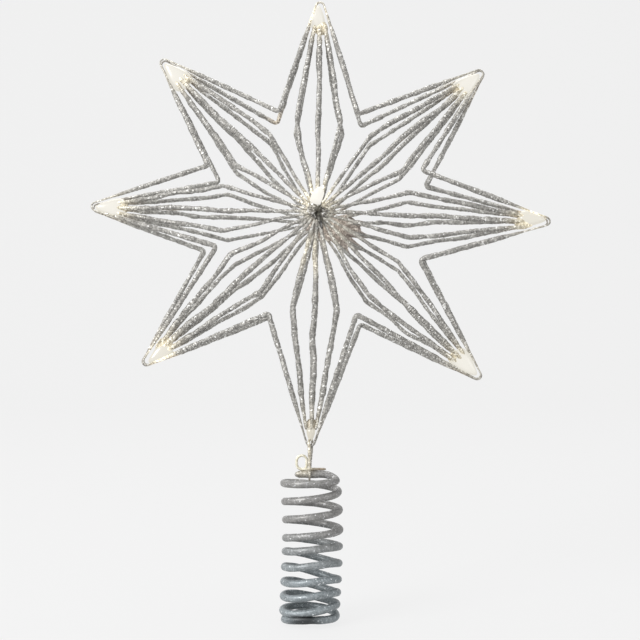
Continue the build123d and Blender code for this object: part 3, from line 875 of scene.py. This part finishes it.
# the neck's link: a closed loop from the bottom tip down round the bar, thinner and darker there,
# its front and back spread apart upwards
link = dict(
    half=2.8, top=16.2, bend=2.1, spread=0.8, wire=0.62, footShare=0.7, footSpan=(-2.0, 2.0),
    step=0.45, sides=10, lump=0.1, lumpSpan=3.0, grain=0.07,
    lit=0.5, litFront=0.4, litLimits=(0.2, 0.85), footLit=0.45, footLitSpan=(-1.5, 3.0))
rng = np.random.default_rng(500)
half, top = link["half"], link["top"]
path = bentPath([(0, top, -half), (0, top, half), (0, -half, half), (0, -half, -half)],
                link["bend"], link["step"], closed=True)
x, y, z = path.T
footed = link["wire"] * np.interp(y, link["footSpan"], (link["footShare"], 1))
radius = coatedRadius(footed, len(path), link, rng)
path[:, 0] -= link["spread"] * np.clip(y / top, 0, 1) * np.sin(np.pi / 2 * np.clip(z / half, -1, 1))
shell = onStar(tubeShell(path, axisX, radius, link["sides"], closed=True))
# painted lamp light on the link: stronger on its front, weaker at its foot
lit = np.clip(link["lit"] + link["litFront"] * z / half, *link["litLimits"])
lit = lit * np.interp(y, link["footLitSpan"], (link["footLit"], 1))
shell["paintedLampLight"] = lit.repeat(link["sides"])
makePiece("neck_link_coated", shell, wireGlitter["front"], ["neck_link"], "star")

# the neck's tie: it lies along the bar and curls up beside the link
tie = dict(
    wire=0.66, bed=72.45, tail=7.6, near=-1.3, far=-6.05, up=6.3, back=1.35, bend=2.35,
    end=3.2, endBed=71.92, step=0.45, sides=10, lump=0.05, lumpSpan=3.0, grain=0.02,
    litFrom=4.1, litOver=6.0)
bed, far, near, back = tie["bed"], tie["far"], tie["near"], tie["back"]
crest = bed + tie["up"]
path = bentPath([(tie["tail"], 0, bed), (far, 0, bed), (far, back / 3, crest),
                 (near, back * 2 / 3, crest), (near, back, tie["endBed"]),
                 (near - tie["end"], back, tie["endBed"])], tie["bend"], tie["step"])
radius = coatedRadius(tie["wire"], len(path), tie, rng)
shell = tubeShell(path, axisY, roundEnds(radius), tie["sides"])
shell["paintedLampLight"] = np.clip((tie["litFrom"] - shell["verts"][:, 0]) / tie["litOver"], 0, 1)
makePiece("neck_tie_curled", shell, tieLacquer, ["neck_tie"], "neck", smooth=True)
print("neck: link and tie")

# stage: one pale sheet, floor to wall, in metres
stage = dict(
    halfWidth=2.2, front=-2.2, bend=0.9, sweep=0.5, height=2.6,
    floorRows=12, bendRows=16, wallRows=8, columns=9,
    colour="#d4d4d4", shown="#f3f3f3", shownShare=0.92, roughness=0.9, shine=0.1,
    fibre=4.0, fibreDetail=2.0, fibreBump=0.05, fibreRise=0.5)
wallAt, turn = stage["bend"] + stage["sweep"], np.linspace(0, np.pi / 2, stage["bendRows"])
floorRun = np.linspace((stage["front"], 0), (stage["bend"], 0), stage["floorRows"])
curve = np.stack([stage["bend"] + stage["sweep"] * np.sin(turn),
                  stage["sweep"] * (1 - np.cos(turn))], -1)
wall = np.linspace((wallAt, stage["sweep"]), (wallAt, stage["height"]), stage["wallRows"])
profile = np.vstack([floorRun, curve[1:], wall[1:]])
across = np.linspace(-stage["halfWidth"], stage["halfWidth"], stage["columns"])
grid = np.stack(np.broadcast_arrays(across[None], profile[:, :1], profile[:, 1:]), -1)
index = np.arange(len(profile) * stage["columns"]).reshape(-1, stage["columns"])
quads = np.stack([index[:-1, :-1], index[:-1, 1:], index[1:, 1:], index[1:, :-1]], -1)
sheet = bpy.data.meshes.new("studio_sheet")
sheet.from_pydata(grid.reshape(-1, 3).tolist(), [], quads.reshape(-1, 4).tolist())
sheet.polygons.foreach_set("use_smooth", np.full(len(sheet.polygons), True))
stagePiece = bpy.data.objects.new("studio_sheet", sheet)
bpy.context.scene.collection.objects.link(stagePiece)

# matt paper; seen directly or in a reflection it is mostly an even tone, and keeps a faint shadow
paper, tree, shader = newMaterial("matt_background_paper")
fibre = noiseTexture(tree, stage["fibre"], stage["fibreDetail"])
fibreBump = addNode(tree, "Bump", {"Height": fibre, "Strength": stage["fibreBump"],
                                   "Distance": stage["fibreRise"] * mm})
feedNode(tree, shader, {
    "Base Color": hexColour(stage["colour"]),
    "Roughness": stage["roughness"],
    "Specular IOR Level": stage["shine"],
    "Normal": fibreBump.outputs[0]})
shown = addNode(tree, "Emission", {"Color": hexColour(stage["shown"]), "Strength": 1.0})
share = mathNode(tree, "MULTIPLY", seenDirectly(tree), stage["shownShare"])
mixed = addNode(tree, "MixShader", {0: share, 1: shader.outputs[0], 2: shown.outputs[0]})
output = next(node for node in tree.nodes if node.type == "OUTPUT_MATERIAL")
tree.links.new(mixed.outputs[0], output.inputs["Surface"])
sheet.materials.append(paper)

# three soft square lights turned to the star: places and sizes in metres, power in watts
aim = Vector((0, 0, 0.17))
lights = dict(
    key_light=dict(place=(-0.95, -0.75, 0.85), size=0.6, power=21.0),
    fill_light=dict(place=(1.0, -0.8, 0.5), size=0.9, power=3.0),
    top_light=dict(place=(-0.1, 0.3, 1.2), size=0.8, power=8.0))
for name, look in lights.items():
    lightData = bpy.data.lights.new(name, "AREA")
    lightData.shape = "SQUARE"
    lightData.size = look["size"]
    lightData.energy = look["power"]
    lightPiece = bpy.data.objects.new(name, lightData)
    lightPiece.location = look["place"]
    heading = aim - Vector(look["place"])
    lightPiece.rotation_euler = heading.to_track_quat("-Z", "Y").to_euler()
    bpy.context.scene.collection.objects.link(lightPiece)

# pale air that lights less than it shows
air = dict(colour="#f8f8f9", light=0.4, shown=0.86)
world = bpy.data.worlds.new("studio_air")
world.use_nodes = True
tree = world.node_tree
feedNode(tree, tree.nodes["Background"], {
    "Color": hexColour(air["colour"]),
    "Strength": mapRange(tree, seenDirectly(tree), to=(air["light"], air["shown"]))})
bpy.context.scene.world = world

# the photograph's camera: its place in mm, its turns in degrees
view = dict(place=(7.691, -581.03, 168.05), pitch=2.5174, yaw=-0.2728, roll=-0.0415,
            focalPixels=1246.16, imagePixels=640, sensor=36.0, clipStart=0.01)
pitch, yaw, tilt = np.radians([view["pitch"], view["yaw"], view["roll"]])
forward = Vector((np.sin(yaw) * np.cos(pitch), np.cos(yaw) * np.cos(pitch), -np.sin(pitch)))
right = Vector((np.cos(yaw), -np.sin(yaw), 0))
up = right.cross(forward)
right, up = right * np.cos(tilt) + up * np.sin(tilt), up * np.cos(tilt) - right * np.sin(tilt)
cameraData = bpy.data.cameras.new("photo_camera")
cameraData.sensor_width = view["sensor"]
cameraData.lens = view["focalPixels"] / view["imagePixels"] * view["sensor"]
cameraData.clip_start = view["clipStart"]
camera = bpy.data.objects.new("photo_camera", cameraData)
turned = Matrix((right, up, -forward)).transposed().to_4x4()
camera.matrix_world = Matrix.Translation(Vector(view["place"]) * mm) @ turned
bpy.context.scene.collection.objects.link(camera)
bpy.context.scene.camera = camera
bpy.context.scene.view_settings.view_transform = "Standard"
print("stage, lights and camera set")
